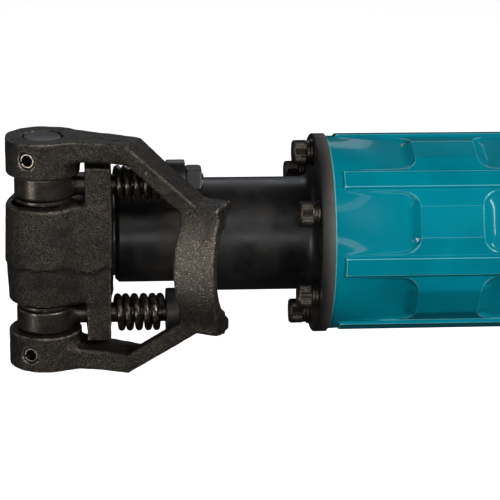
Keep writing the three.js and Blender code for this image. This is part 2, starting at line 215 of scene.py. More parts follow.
def forged_steel(name="forged_steel", rub_and_highlight_from=None):
    """Sandy forging skin. From the given x on, across the middle of the strap, it is smoother where the
    tool's collar rubs, and lighter there with a painted highlight.
    """
    f = Finish(name, metallic=0.85, specular=0.5)
    grain = f.noise(1.0, 3.0, 0.7)
    scale = f.noise(14.0, 4.0, 0.6)
    pits = f.cells(1.3).between(0.05, 0.28, 1.0, 0.0)
    # Painted glints: small lighter flecks in the base colour stand in for sparkle highlights on the grain.
    painted_glints = f.noise(0.8, 1.0).between(0.60, 0.70)
    brown = f.mix((0.018, 0.0155, 0.013), (0.088, 0.074, 0.060), grain.between(0.38, 0.66))
    brown = f.mix(brown, (0.30, 0.26, 0.22), painted_glints * 0.35)
    aged = f.mix(brown, (0.022, 0.020, 0.019), scale.between(0.46, 0.70, 0.0, 0.75))
    worn = f.edges().between(0.515, 0.575) * f.noise(3.0, 3.0).between(0.35, 0.62)
    dull = grain.between(0.35, 0.68, 0.54, 0.28) + scale.between(0.45, 0.7, 0.0, 0.08)
    if rub_and_highlight_from is not None:
        along = f.axis("X").between(rub_and_highlight_from + SHIFT.x - 0.004, rub_and_highlight_from + SHIFT.x + 0.006)
        # Painted highlight: across the middle of the strap the colour is lighter, fading towards its ends; it
        # is also smoother there, where the tool's collar rubs.
        rub_and_highlight = along * (f.axis("Z") - 0.004).size().between(0.008, 0.036, 1.0, 0.0)
        aged = f.mix(aged, (0.170, 0.146, 0.122), rub_and_highlight * 0.9)
        dull = dull - rub_and_highlight * 0.18
    f.colour(f.mix(aged, (0.40, 0.34, 0.27), worn))
    f.roughness(dull)
    f.relief(grain + scale * 0.8 - pits * 0.6, 0.5, 1.0)
    return f.material


def blacked_steel(name="blacked_steel", tone=1.0, around="X", matt_shaded_rim_from=None):
    """Turned and blacked. Beyond a given radius about the tool axis, on the flange rim, it is matt and
    darkened with painted shade.
    """
    f = Finish(name, metallic=0.35, specular=0.55)
    stretch = {"X": (14, 1, 1), "Z": (1, 1, 14)}[around]
    turning = f.noise(5.0, 3.0, 0.6, stretch)
    film = f.noise(16.0, 4.0, 0.6)
    fine = f.noise(0.7, 2.0)
    base = f.mix(toned((0.012, 0.0115, 0.012), tone), toned((0.026, 0.024, 0.022), tone),
                 film.between(0.35, 0.7))
    worn = f.edges().between(0.53, 0.62, 0.0, 0.7)
    dull = film.between(0.3, 0.7, 0.30, 0.42) + fine.between(0.3, 0.7, 0.0, 0.06)
    if matt_shaded_rim_from is not None:
        across, up = f.axis("Y"), f.axis("Z")
        # Painted shade: past this radius, on the flange rim, the colour is darkened; the roughness rises
        # there too.
        rim = (across * across + up * up).between(matt_shaded_rim_from ** 2, (matt_shaded_rim_from + 0.001) ** 2)
        base = f.mix(base, (0.009, 0.0085, 0.0085), rim * 0.9)
        dull = dull + rim * 0.20
    f.colour(f.mix(base, (0.16, 0.14, 0.12), worn))
    f.roughness(dull)
    f.relief(turning * 0.6 + fine * 0.5, 0.035, 0.6)
    return f.material


def fastener_steel():
    f = Finish("fastener_steel", metallic=0.9, specular=0.5)
    grain = f.noise(0.9, 3.0, 0.65)
    film = f.noise(6.0, 3.0)
    base = f.mix((0.045, 0.038, 0.033), (0.155, 0.132, 0.110), grain.between(0.35, 0.7))
    base = f.mix(base, (0.030, 0.026, 0.024), film.between(0.45, 0.7, 0.0, 0.6))
    worn = f.edges().between(0.53, 0.60)
    f.colour(f.mix(base, (0.36, 0.31, 0.25), worn * film.between(0.25, 0.55)))
    f.roughness(grain.between(0.3, 0.7, 0.44, 0.28))
    f.relief(grain, 0.10, 0.7)
    return f.material


def oiled_spring():
    f = Finish("oiled_spring", metallic=0.85, coat=0.35, coat_roughness=0.12, specular=0.5)
    streak = f.noise(2.2, 3.0)
    f.colour(f.mix((0.030, 0.024, 0.020), (0.135, 0.105, 0.078), streak.between(0.35, 0.7)))
    f.roughness(streak.between(0.3, 0.7, 0.26, 0.38))
    f.relief(f.noise(0.6, 2.0), 0.03, 0.4)
    return f.material


def ground_steel():
    f = Finish("ground_steel", metallic=1.0)
    bright = (0.42, 0.42, 0.43)
    lines = f.noise(1.2, 3.0, 0.6, (12, 1, 1))
    f.colour(f.mix(toned(bright, 0.8), bright, lines.between(0.3, 0.7)))
    f.roughness(lines.between(0.3, 0.7, 0.22, 0.36))
    f.relief(lines, 0.02, 0.5)
    return f.material


def teal_enamel():
    f = Finish("teal_enamel", coat=0.20, coat_roughness=0.05, specular=0.04)
    peel = f.noise(1.5, 2.0, 0.5)
    cast = f.noise(0.6, 2.0)
    drift = f.noise(40.0, 3.0, 0.5)
    base = f.mix((0.0, 0.170, 0.226), (0.0, 0.212, 0.278), drift.between(0.3, 0.7))
    # Painted highlight: sharp edges and rims are coloured a lighter cyan, standing in for the bright
    # highlight lines along them.
    painted_edge_highlight = f.edges().between(0.515, 0.550)
    f.colour(f.mix(base, (0.24, 0.66, 0.70), painted_edge_highlight * 0.8))
    f.roughness(peel.between(0.3, 0.7, 0.17, 0.25))
    f.relief(peel + cast * 0.5, 0.07, 0.6)
    return f.material


def bronze():
    f = Finish("bearing_bronze", metallic=1.0)
    stain = f.noise(5.0, 4.0)
    f.colour(f.mix((0.30, 0.19, 0.08), (0.52, 0.36, 0.17), stain.between(0.3, 0.7)))
    f.roughness(stain.between(0.3, 0.7, 0.45, 0.28))
    f.relief(f.noise(0.6, 2.0), 0.03, 0.4)
    return f.material


def grip_rubber():
    f = Finish("grip_rubber", specular=0.35)
    grain = f.cells(1.1)
    f.colour(f.mix((0.010, 0.010, 0.011), (0.022, 0.022, 0.023), f.noise(6.0, 3.0).between(0.3, 0.7)))
    f.roughness(f.noise(3.0, 3.0).between(0.3, 0.7, 0.62, 0.8))
    f.relief(grain, 0.12, 0.5)
    return f.material


def zinc_plate():
    f = Finish("zinc_plate", metallic=1.0)
    spangle = f.noise(3.5, 3.0)
    f.colour(f.mix((0.36, 0.36, 0.35), (0.60, 0.59, 0.56), spangle.between(0.3, 0.7)))
    f.roughness(spangle.between(0.3, 0.7, 0.38, 0.26))
    f.relief(f.noise(0.8, 2.0), 0.03, 0.4)
    return f.material


FORGED = forged_steel()
FORGED_RETAINER = forged_steel("forged_retainer", 0.092)
BLACKED = blacked_steel()
BLACKED_BARREL = blacked_steel("blacked_barrel", matt_shaded_rim_from=0.0612)
BLACKED_UPRIGHT = blacked_steel("blacked_upright", 1.3, "Z")
FASTENER = fastener_steel()
SPRING = oiled_spring()
GROUND = ground_steel()
PAINT = teal_enamel()
WORN_SHAFT = blacked_steel("worn_shaft", 2.0, "Z")
CAST = blacked_steel("cast_steel", 1.5)
BRONZE = bronze()
RUBBER = grip_rubber()
ZINC = zinc_plate()
SLOT_FINISH = {"forged": FORGED, "blacked": BLACKED, "ground": GROUND, "spring": SPRING, "bronze": BRONZE,
               "rubber": RUBBER, "zinc": ZINC, "paint": PAINT}
slot_of = {s["node"]: s["material_slot"] for s in frame["record"]["subparts"]}
body_of = {n: b for b, members in frame["record"]["behaviour"]["bodies"].items() for n in members}


# ---------------------------------------------------------------- distance shapes, in millimetres
def round_join(a, b, k):
    """The lesser of two values, eased where they are within k of each other: two shapes made one."""
    h = np.maximum(k - np.abs(a - b), 0.0) / k
    return np.minimum(a, b) - h * h * k * 0.25


def common(a, b, k):
    """The greater of two values, eased where they are within k of each other: what two shapes share."""
    h = np.maximum(k - np.abs(a - b), 0.0) / k
    return np.maximum(a, b) + h * h * k * 0.25


def round_cut(a, b, k):
    """What lies in a and outside b."""
    return common(a, -b, k)


def capped(across, along, r):
    """Distance from its two one-way distances, with edges rounded by r."""
    a = across + r
    b = along + r
    return np.minimum(np.maximum(a, b), 0) + np.hypot(np.maximum(a, 0), np.maximum(b, 0)) - r


def shaft(u, v, w, radius, low, high, r=0.0):
    """A round bar about the w axis, from its two cross coordinates u and v."""
    return capped(np.hypot(u, v) - radius, np.abs(w - (low + high) / 2) - (high - low) / 2, r)


def block(p, low, high, r):
    q = [np.abs(c - (a + b) / 2) - (b - a) / 2 + r for c, a, b in zip(p, low, high)]
    outside = np.sqrt(sum(np.maximum(c, 0) ** 2 for c in q))
    return outside + np.minimum(np.maximum(np.maximum(q[0], q[1]), q[2]), 0) - r


def smooth_step(value, low, high):
    t = np.clip((value - low) / (high - low), 0, 1)
    return t * t * (3 - 2 * t)


def outline(x, y, corners):
    """Signed distance to a closed flat outline."""
    best = np.full(x.shape, 1e9)
    sign = np.ones(x.shape)
    for (ax, ay), (bx, by) in zip(corners, corners[1:] + corners[:1]):
        ex, ey = bx - ax, by - ay
        wx, wy = x - ax, y - ay
        t = np.clip((wx * ex + wy * ey) / (ex * ex + ey * ey), 0, 1)
        best = np.minimum(best, (wx - ex * t) ** 2 + (wy - ey * t) ** 2)
        rising = (y >= ay) & (y < by) & (ex * wy - ey * wx > 0)
        falling = (y < ay) & (y >= by) & (ex * wy - ey * wx < 0)
        sign = np.where(rising | falling, -sign, sign)
    return sign * np.sqrt(best)


def skin(shape, low, high, step):
    """A closed quad mesh over shape < 0, from a grid of the given step, drawn onto the true surface."""
    # One point in each cell that the surface passes through, at the mean of where it crosses the edges.
    axes = [np.arange(a - 2 * step, b + 2.5 * step, step) for a, b in zip(low, high)]
    grid = np.meshgrid(*axes, indexing="ij")
    value = shape(*grid)
    inside = value < 0
    count = np.zeros([n - 1 for n in value.shape])
    total = np.zeros(count.shape + (3,))
    for axis in range(3):
        a = [slice(None)] * 3
        b = [slice(None)] * 3
        a[axis], b[axis] = slice(0, -1), slice(1, None)
        va, vb = value[tuple(a)], value[tuple(b)]
        crossing = (va < 0) != (vb < 0)
        t = np.where(crossing, va / np.where(crossing, va - vb, 1.0), 0.0)
        point = np.stack([g[tuple(a)] for g in grid], -1)
        point[..., axis] += t * step
        others = [k for k in range(3) if k != axis]
        for i in (0, 1):
            for j in (0, 1):
                s = [slice(None)] * 3
                n1, n2 = count.shape[others[0]], count.shape[others[1]]
                s[others[0]], s[others[1]] = slice(i, i + n1), slice(j, j + n2)
                c = crossing[tuple(s)]
                count += c
                total += point[tuple(s)] * c[..., None]
    active = count > 0
    index = np.full(count.shape, -1)
    index[active] = np.arange(active.sum())
    points = total[active] / count[active][:, None]
    # One quad across each grid edge that the surface crosses, between the four cells round that edge.
    faces = []
    for axis in range(3):
        o1, o2 = [(1, 2), (2, 0), (0, 1)][axis]
        a = [slice(1, -1)] * 3
        b = [slice(1, -1)] * 3
        a[axis], b[axis] = slice(0, -1), slice(1, None)
        ia, ib = inside[tuple(a)], inside[tuple(b)]
        where = np.argwhere(ia != ib)
        base = where.copy()
        for k in range(3):
            if k != axis:
                base[:, k] += 1
        corners = []
        for d1, d2 in ((0, 0), (-1, 0), (-1, -1), (0, -1)):
            c = base.copy()
            c[:, o1] += d1
            c[:, o2] += d2
            corners.append(index[c[:, 0], c[:, 1], c[:, 2]])
        quad = np.stack(corners, 1)
        flip = ~ia[tuple(where.T)]
        quad[flip] = quad[flip][:, ::-1]
        faces.append(quad)
    faces = np.concatenate(faces)
    # The points slide down the slope of the distance until they lie on the surface.
    for _ in range(4):
        d = shape(*points.T)
        e = 0.04
        rises = [shape(*(points + n).T) - shape(*(points - n).T) for n in e * np.eye(3)]
        slope = np.stack(rises, 1) / (2 * e)
        steep = np.maximum((slope ** 2).sum(1), 0.25)
        move = slope * (d / steep)[:, None]
        length = np.linalg.norm(move, axis=1, keepdims=True)
        points -= move * np.minimum(1.0, 0.5 * step / np.maximum(length, 1e-9))
    return points, faces


def raw_object(name, points, faces, material):
    mesh = bpy.data.meshes.new(name)
    mesh.from_pydata([tuple(p) for p in points], [], [tuple(int(i) for i in f) for f in faces])
    mesh.validate()
    bm = bmesh.new()
    bm.from_mesh(mesh)
    bmesh.ops.recalc_face_normals(bm, faces=bm.faces)
    bm.to_mesh(mesh)
    bm.free()
    mesh.materials.append(material)
    mesh.polygons.foreach_set("use_smooth", [True] * len(mesh.polygons))
    made = bpy.data.objects.new(name, mesh)
    bpy.context.scene.collection.objects.link(made)
    return made


def stand_for(made, *names):
    """The finished piece takes the place of these nodes, on their body."""
    made.data.transform(Matrix.Translation(SHIFT))
    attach(made, body_of[names[0]])
    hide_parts(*names)
    return made


# ---------------------------------------------------------------- turned pieces
def turned(name, profile, material, centre=(0, 0), axis="X", segments=96, crease=30):
    """A piece of revolution from [along, radius] pairs in millimetres, about a line parallel to an axis."""
    points, faces = [], []
    rows = []
    for along, radius in profile:
        row = []
        if radius < 1e-6:
            row = [len(points)] * segments
            points.append((along, 0.0, 0.0))
        else:
            for k in range(segments):
                a = 2 * math.pi * k / segments
                row.append(len(points))
                points.append((along, radius * math.cos(a), radius * math.sin(a)))
        rows.append(row)
    for lower, upper in zip(rows, rows[1:]):
        for k in range(segments):
            n = (k + 1) % segments
            corner = [lower[k], lower[n], upper[n], upper[k]]
            face = [c for i, c in enumerate(corner) if c not in corner[:i]]
            if len(face) > 2:
                faces.append(face)
    turn = {"X": lambda x, y, z: (x, y + centre[0], z + centre[1]),
            "Y": lambda x, y, z: (z + centre[0], x, y + centre[1]),
            "Z": lambda x, y, z: (y + centre[0], z + centre[1], x)}[axis]
    points = [tuple(c * MM for c in turn(*p)) for p in points]
    made = raw_object(name, points, faces, material)
    made.data.set_sharp_from_angle(angle=math.radians(crease))
    return made


def eased(profile, radius=0.6, steps=3):
    """The profile with each of its inner corners rounded a little."""
    out = [profile[0]]
    for before, here, after in zip(profile, profile[1:], profile[2:]):
        a = Vector(before) - Vector(here)
        b = Vector(after) - Vector(here)
        if here[1] < 1e-6 or a.length < 1e-6 or b.length < 1e-6:
            out.append(here)
            continue
        r = min(radius, 0.4 * a.length, 0.4 * b.length)
        start = Vector(here) + a.normalized() * r
        end = Vector(here) + b.normalized() * r
        for k in range(steps + 1):
            t = k / steps
            p = start.lerp(Vector(here), t).lerp(Vector(here).lerp(end, t), t)
            out.append((p.x, p.y))
    out.append(profile[-1])
    return out


def cut_away(made, *tools):
    """Bored or notched by other closed pieces, which are used up."""
    for tool in tools:
        change = made.modifiers.new("bore", "BOOLEAN")
        change.operation = "DIFFERENCE"
        change.object = tool
        change.solver = "EXACT"
    bpy.context.view_layer.update()
    seen = made.evaluated_get(bpy.context.evaluated_depsgraph_get())
    mesh = bpy.data.meshes.new_from_object(seen)
    made.modifiers.clear()
    made.data = mesh
    for tool in tools:
        bpy.data.objects.remove(tool)
    mesh.polygons.foreach_set("use_smooth", [True] * len(mesh.polygons))
    mesh.set_sharp_from_angle(angle=math.radians(30))
    return made


def ring_profile(x0, x1, outer, inner, ease=0.5):
    body = eased([(x0, inner), (x0, outer), (x1, outer), (x1, inner)], ease)
    return body + [body[0]]


# ---------------------------------------------------------------- Geometry Nodes trees
class Tree:
    """A Geometry Nodes tree with named inputs, whose result is realized and given its material."""

    def __init__(self, name, inputs):
        self.group = bpy.data.node_groups.new(name, "GeometryNodeTree")
        face = self.group.interface
        self.ids = {}
        for label, kind, value in inputs:
            item = face.new_socket(name=label, in_out="INPUT", socket_type=kind)
            if value is not None:
                item.default_value = value
            self.ids[label] = item.identifier
        face.new_socket(name="Geometry", in_out="OUTPUT", socket_type="NodeSocketGeometry")
        self.given = self.group.nodes.new("NodeGroupInput")

    def node(self, kind, settings=None, **links):
        made = self.group.nodes.new(kind)
        for key, value in (settings or {}).items():
            setattr(made, key, value)
        for key, value in links.items():
            place = made.inputs[int(key[1:])] if key[0] == "i" and key[1:].isdigit() \
                else made.inputs[key.replace("_", " ")]
            if isinstance(value, bpy.types.NodeSocket):
                self.group.links.new(value, place)
            else:
                place.default_value = value
        return made

    def input(self, label):
        return self.given.outputs[label]

    def maths(self, op, a, b=0.0, c=0.0):
        return self.node("ShaderNodeMath", {"operation": op}, i0=a, i1=b, i2=c).outputs[0]

    def placed(self, spot):
        """The spot moved to the tree's Centre."""
        return self.node("ShaderNodeVectorMath", {"operation": "ADD"}, i0=spot,
                         i1=self.input("Centre")).outputs[0]

    def close(self, geometry):
        real = self.node("GeometryNodeRealizeInstances", None, i0=geometry).outputs[0]
        done = self.node("GeometryNodeSetMaterial", None, Geometry=real,
                         Material=self.input("Finish")).outputs[0]
        out = self.group.nodes.new("NodeGroupOutput")
        self.group.links.new(done, out.inputs[0])

    def build(self, name, crease=35, **values):
        made = bpy.data.objects.new(name, bpy.data.meshes.new(name))
        bpy.context.scene.collection.objects.link(made)
        change = made.modifiers.new("tree", "NODES")
        change.node_group = self.group
        for label, value in values.items():
            change[self.ids[label.replace("_", " ")]] = value
        bpy.context.view_layer.update()
        seen = made.evaluated_get(bpy.context.evaluated_depsgraph_get())
        mesh = bpy.data.meshes.new_from_object(seen)
        made.modifiers.clear()
        made.data = mesh
        mesh.name = name
        mesh.polygons.foreach_set("use_smooth", [True] * len(mesh.polygons))
        mesh.set_sharp_from_angle(angle=math.radians(crease))
        return made


def ring_tree():
    """One piece repeated round the tool axis, each copy turned a little differently on its own axis."""
    tree = Tree("round_the_flange", [
        ("Piece", "NodeSocketObject", None), ("Circle Radius", "NodeSocketFloat", 0.0536),
        ("Count", "NodeSocketInt", 6), ("First Angle", "NodeSocketFloat", 0.5236),
        ("Turn Spread", "NodeSocketFloat", 1.0), ("Seed", "NodeSocketInt", 3),
        ("Finish", "NodeSocketMaterial", None)])
    circle = tree.node("GeometryNodeMeshCircle", None, Vertices=tree.input("Count"),
                       Radius=tree.input("Circle Radius")).outputs[0]
    upright = tree.node("GeometryNodeTransform", None, Geometry=circle,
                        Rotation=(0.0, math.pi / 2, 0.0)).outputs[0]
    lift = tree.maths("SUBTRACT", math.pi / 2, tree.input("First Angle"))
    angle = tree.node("ShaderNodeCombineXYZ", None, X=lift).outputs[0]
    placed = tree.node("GeometryNodeTransform", None, Geometry=upright, Rotation=angle).outputs[0]
    piece = tree.node("GeometryNodeObjectInfo", None, Object=tree.input("Piece")).outputs["Geometry"]
    spread = tree.node("FunctionNodeRandomValue", {"data_type": "FLOAT"})
    tree.group.links.new(tree.input("Seed"), spread.inputs["Seed"])
    tree.group.links.new(tree.input("Turn Spread"), spread.inputs[3])
    turn = tree.node("ShaderNodeCombineXYZ", None, X=spread.outputs[1]).outputs[0]
    copies = tree.node("GeometryNodeInstanceOnPoints", None, Points=placed, Instance=piece,
                       Rotation=turn).outputs[0]
    tree.close(copies)
    return tree


def coil_tree():
    """A round-wire compression spring along +X, its end coils wound closer."""
    tree = Tree("compression_spring", [
        ("Start", "NodeSocketFloat", 0.0675), ("Length", "NodeSocketFloat", 0.0332),
        ("Mean Radius", "NodeSocketFloat", 0.00975), ("Wire Radius", "NodeSocketFloat", 0.0023),
        ("Turns", "NodeSocketFloat", 5.4), ("Closing", "NodeSocketFloat", 0.12),
        ("Centre", "NodeSocketVector", (0.0, 0.0, 0.0)), ("Finish", "NodeSocketMaterial", None)])
    line = tree.node("GeometryNodeCurvePrimitiveLine", None, End=(1.0, 0.0, 0.0)).outputs[0]
    fine = tree.node("GeometryNodeResampleCurve", None, Curve=line, Count=260).outputs[0]
    t = tree.node("GeometryNodeSplineParameter").outputs["Factor"]
    wave = tree.maths("SINE", tree.maths("MULTIPLY", t, 2 * math.pi))
    eased_t = tree.maths("SUBTRACT", t, tree.maths("MULTIPLY", wave, tree.maths(
        "DIVIDE", tree.input("Closing"), 2 * math.pi)))
    wire_across = tree.maths("MULTIPLY", tree.input("Wire Radius"), 2.0)
    free = tree.maths("SUBTRACT", tree.input("Length"), wire_across)
    along = tree.maths("ADD", tree.maths("ADD", tree.input("Start"), tree.input("Wire Radius")),
                       tree.maths("MULTIPLY", free, eased_t))
    angle = tree.maths("MULTIPLY", tree.maths("MULTIPLY", t, tree.input("Turns")), 2 * math.pi)
    y = tree.maths("MULTIPLY", tree.maths("COSINE", angle), tree.input("Mean Radius"))
    z = tree.maths("MULTIPLY", tree.maths("SINE", angle), tree.input("Mean Radius"))
    spot = tree.node("ShaderNodeCombineXYZ", None, X=along, Y=y, Z=z).outputs[0]
    where = tree.placed(spot)
    wound = tree.node("GeometryNodeSetPosition", None, Geometry=fine, Position=where).outputs[0]
    section = tree.node("GeometryNodeCurvePrimitiveCircle", None, Resolution=14,
                        Radius=tree.input("Wire Radius")).outputs[0]
    wire = tree.node("GeometryNodeCurveToMesh", None, i0=wound)
    tree.group.links.new(section, wire.inputs["Profile Curve"])
    wire.inputs["Fill Caps"].default_value = True
    tree.close(wire.outputs[0])
    return tree


# ---------------------------------------------------------------- front head
PIVOT = (25.0, -28.6)
SHAFT_BORE_R = 12.6
HEAD_HALF = 33.0
PLATE_FRONT, PLATE_BACK = 50.5, 67.1
BOLT_OUT, BOLT_BORE_R = 42.25, 6.8
PIN_OUT = 63.0
BODY_OUTLINE = [(9, -28), (9, 16), (20, 33), (60, 36), (60, -43.4), (36, -43.4), (25, -28)]


def parting_height(x):
    """Where the two halves of the forging die met, along the near side."""
    step_down = 4.3 * (smooth_step(x, 40.5, 45.5) - 0.75 * smooth_step(x, 55.0, 64.0))
    return -6.4 - step_down + 0.5 * np.sin(x * 0.55) + 0.35 * np.sin(x * 1.3 + 1)


def lumps(x, y, z, size):
    """The slight unevenness of a forging, from -1.6 to 1.6."""
    k = 2 * math.pi / size
    return (np.sin(x * k + 1.3 * np.sin(z * k * 0.7)) * np.sin(y * k * 1.1 + 0.8) * np.sin(z * k * 0.9 + 2.0)
            + 0.6 * np.sin(x * k * 1.9 + 2) * np.sin(z * k * 2.1 + y * k))


def front_head_shape(x, y, z):
    px, py = x - PIVOT[0], y - PIVOT[1]
    knuckle = shaft(px, py, z, 24.5, -HEAD_HALF, HEAD_HALF, 3.0)
    body = capped(outline(x, y, BODY_OUTLINE), np.abs(z) - HEAD_HALF, 3.0)
    wings = block((x, y, z), (PLATE_FRONT, -43.8, -56.8), (PLATE_BACK, -12, 56.8), 1.7)
    disc = shaft(y, z, x, 37, PLATE_FRONT, PLATE_BACK, 2.0)
    near = np.clip((-y - 14) / 10, 0, 1)
    from_parting = z - parting_height(x)
    lower = 0.5 - 0.5 * np.tanh(from_parting / 0.4)
    draft = 0.05 * np.maximum(-from_parting, 0) + 0.03 * np.maximum(from_parting - 3, 0)
    d = round_join(round_join(knuckle, body, 7.0) + draft * near, disc, 4.0)
    d = round_join(d, wings, 5.0)
    d = d + 0.75 * lower * near + 0.12 + 0.12 * lumps(x, y, z, 19.0)
    slot = np.hypot(px - np.clip(px, -7.0, 0.0), py) - SHAFT_BORE_R
    d = round_cut(d, np.hypot(y, z) - 17.2, 1.6)
    d = round_cut(d, shaft(y, z, x, 26.3, 45.2, 90), 0.8)
    d = round_cut(d, slot, 1.6)
    return round_cut(d, np.maximum(np.hypot(py, np.abs(z) - BOLT_OUT) - BOLT_BORE_R, 40 - x), 1.2)


def forged_piece(name, shape, low, high, step, material, turn=None):
    points, faces = skin(shape, low, high, step)
    if turn is not None:
        points = turn(points)
    return raw_object(name, points * MM, faces, material)


stand_for(forged_piece("front_head_forging", front_head_shape, (0, -54, -58), (68, 38, 58), 0.95, FORGED),
          "front_head")

# ---------------------------------------------------------------- retainer yoke
SWING = math.radians(25.0)
ARM = [(4, 74.6), (4, 60), (57, 61.3), (92, 35.5), (92, 28), (117.2, 28), (117.2, 40.8), (103.5, 40.8),
       (57.5, 73.9), (40, 74.6)]
STRAP_EDGE = [(96.5, 36), (93.2, 28), (91.3, 16), (90.7, 0), (91.3, -16), (93.2, -28), (96.5, -36)]
STRAP = STRAP_EDGE + [(103, -40.8), (117.2, -40.8), (117.2, 40.8), (103, 40.8)]


def yoke_shape(x, y, z):
    """x runs from the pivot along the yoke, y is the outward side, z across it."""
    az = np.abs(z)
    ear = shaft(x, y, az, 23.0, 51, 74.6, 1.2)
    arm = outline(x, az, ARM)
    front = 3.2 + 8.0 * np.clip((46 - x) / 32, 0, 1) ** 1.6
    rear = -21.5 + 4.0 * np.clip((x - 50) / 30, 0, 1)
    limb = capped(arm, np.maximum(y - front, rear - y), 2.0)
    crown = 10.3 - (78 - np.sqrt(np.maximum(78.0 ** 2 - z * z, 0)))
    strap = capped(outline(x, z, STRAP), np.maximum(y - crown, -16.8 - y), 1.7)
    d = common(round_join(round_join(ear, limb, 7.0), strap, 3.0), az - 74.1, 0.8)
    along = np.clip((x - 22) / 12, 0, 1)
    d = d - 0.75 * np.exp(-((y + 7.5 + 0.5 * np.sin(x * 0.4)) / 1.3) ** 2) * along * (arm > -3.0)
    d = d + 0.10 + 0.10 * lumps(x, y, z, 17.0)
    d = round_cut(d, np.hypot(y + 39, z) - 41, 2.0)
    d = round_cut(d, np.hypot(x, y) - SHAFT_BORE_R, 1.2)
    return round_cut(d, np.hypot(x, az - PIN_OUT) - 5.25, 0.7)


def to_stored_pose(points):
    x, y, z = points.T
    return np.stack([PIVOT[0] + x * math.cos(SWING) - y * math.sin(SWING),
                     PIVOT[1] - x * math.sin(SWING) - y * math.cos(SWING), z], 1)


stand_for(forged_piece("retainer_forging", yoke_shape, (-24, -24, -76), (123, 24, 76), 0.9,
                       FORGED_RETAINER, to_stored_pose), "retainer_yoke")

shaft_profile = eased([(-73.4, 0), (-73.4, 11.2), (-72.3, 12.3), (72.3, 12.3), (73.4, 11.2), (73.4, 0)], 0.4)
stand_for(turned("pivot_shaft_bar", shaft_profile, WORN_SHAFT, PIVOT, "Z"), "pivot_shaft")


def slotted_pin(name, z):
    """A rolled spring pin: a tube with a slot along it and dressed ends."""
    points, faces, rows = [], [], []
    open_half = math.radians(11)
    steps = 40
    for y, grow in ((-21.6, -0.7), (-20.9, 0.0), (20.9, 0.0), (21.6, -0.7)):
        row = []
        for k in range(steps + 1):
            a = math.radians(195) + open_half + (2 * math.pi - 2 * open_half) * k / steps
            for r in (5.0 + grow, 3.6):
                row.append(len(points))
                points.append((r * math.cos(a), y, z + r * math.sin(a)))
        rows.append(row)
    for lower, upper in zip(rows, rows[1:]):
        for k in range(steps):
            o, n = 2 * k, 2 * k + 2
            faces.append((lower[o], lower[n], upper[n], upper[o]))
            faces.append((lower[o + 1], upper[o + 1], upper[n + 1], lower[n + 1]))
        faces.append((lower[0], upper[0], upper[1], lower[1]))
        faces.append((lower[-2], lower[-1], upper[-1], upper[-2]))
    for row in (rows[0], rows[-1]):
        for k in range(steps):
            faces.append((row[2 * k], row[2 * k + 1], row[2 * k + 3], row[2 * k + 2]))
    x, y, z = np.array(points).T
    spots = to_stored_pose(np.stack([x, -y, z], 1)) * MM
    made = raw_object(name, spots, faces, FASTENER)
    made.data.set_sharp_from_angle(angle=math.radians(35))
    return made


stand_for(slotted_pin("slotted_pin_upper", PIN_OUT), "roll_pin_upper")
stand_for(slotted_pin("slotted_pin_lower", -PIN_OUT), "roll_pin_lower")

# ---------------------------------------------------------------- eye bolts, springs, seats and nuts
coils = coil_tree()


def eye_bolt_shape(side):
    def shape(x, y, z):
        px, py, w = x - PIVOT[0], y - PIVOT[1], z * side
        eye = shaft(px, py, w, 17.9, 36.1, 50.5, 1.4)
        stem = shaft(py, w - BOLT_OUT, x, 6.4, 36, 124.6, 0.9)
        d = round_join(eye, stem, 5.0)
        pitch = np.where(x > 98, 0.22 * np.abs(((x / 1.5) % 1.0) * 2 - 1), 0.0)
        return round_cut(d + pitch, np.hypot(px, py) - SHAFT_BORE_R, 0.8)
    return shape


def nut_shape(side):
    def shape(x, y, z):
        py, w = y - PIVOT[1], z * side - BOLT_OUT
        flats = np.maximum(np.abs(w), np.abs(0.866 * py) + 0.5 * np.abs(w)) - 10.5
        from_middle = np.abs(x - 118)
        r = np.hypot(py, w)
        d = common(capped(flats, from_middle - 5, 0.7), (r + from_middle * 0.9 - 15.3) * 0.74, 0.4)
        return round_cut(d, r - BOLT_BORE_R, 0.6)
    return shape


for place, side in (("upper", 1), ("lower", -1)):
    low, high = sorted((side * 34, side * 52))
    bolt = forged_piece("eye_bolt_" + place, eye_bolt_shape(side), (6, -48, low), (127, -9, high), 0.72,
                        FASTENER)
    stand_for(bolt, "eyebolt_" + place)
    low, high = sorted((side * 33.3, side * 35.4))
    washer = ring_profile(low, high, 17.6, SHAFT_BORE_R, 0.4)
    stand_for(turned("thrust_washer_" + place, washer, FASTENER, PIVOT, "Z"), "eye_washer_" + place)
    coil = coils.build("buffer_coil_" + place, Finish=SPRING,
                       Centre=(0.0, PIVOT[1] * MM, side * BOLT_OUT * MM))
    stand_for(coil, "buffer_spring_" + place)
    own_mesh(coil)
    cup = turned("spring_cup_" + place, ring_profile(101, 112.7, 15, BOLT_BORE_R, 0.9), BLACKED,
                 (PIVOT[1], side * BOLT_OUT))
    stand_for(cup, "spring_seat_" + place)
    low, high = sorted((side * 29, side * 55))
    nut = forged_piece("hex_nut_" + place, nut_shape(side), (112, -42, low), (124, -15, high), 0.6, BLACKED)
    stand_for(nut, "lock_nut_" + place)

# ---------------------------------------------------------------- sleeve, barrel and flange
def round_the_axis(radius, degrees):
    """The y and z of a spot at this radius and angle about the tool axis."""
    return -radius * math.cos(math.radians(degrees)), radius * math.sin(math.radians(degrees))


sleeve_profile = [(45.5, 22.3), (45.5, 26.0), (69.4, 26.0)]
sleeve_profile += eased([(69.4, 26.0), (69.4, 27.9), (71.9, 30.25), (118, 30.25)], 0.5)
sleeve_profile += [(118, 27), (139.7, 27), (139.7, 22.3), (45.5, 22.3)]
stand_for(turned("nose_sleeve_turned", sleeve_profile, BLACKED, segments=128), "nose_sleeve")

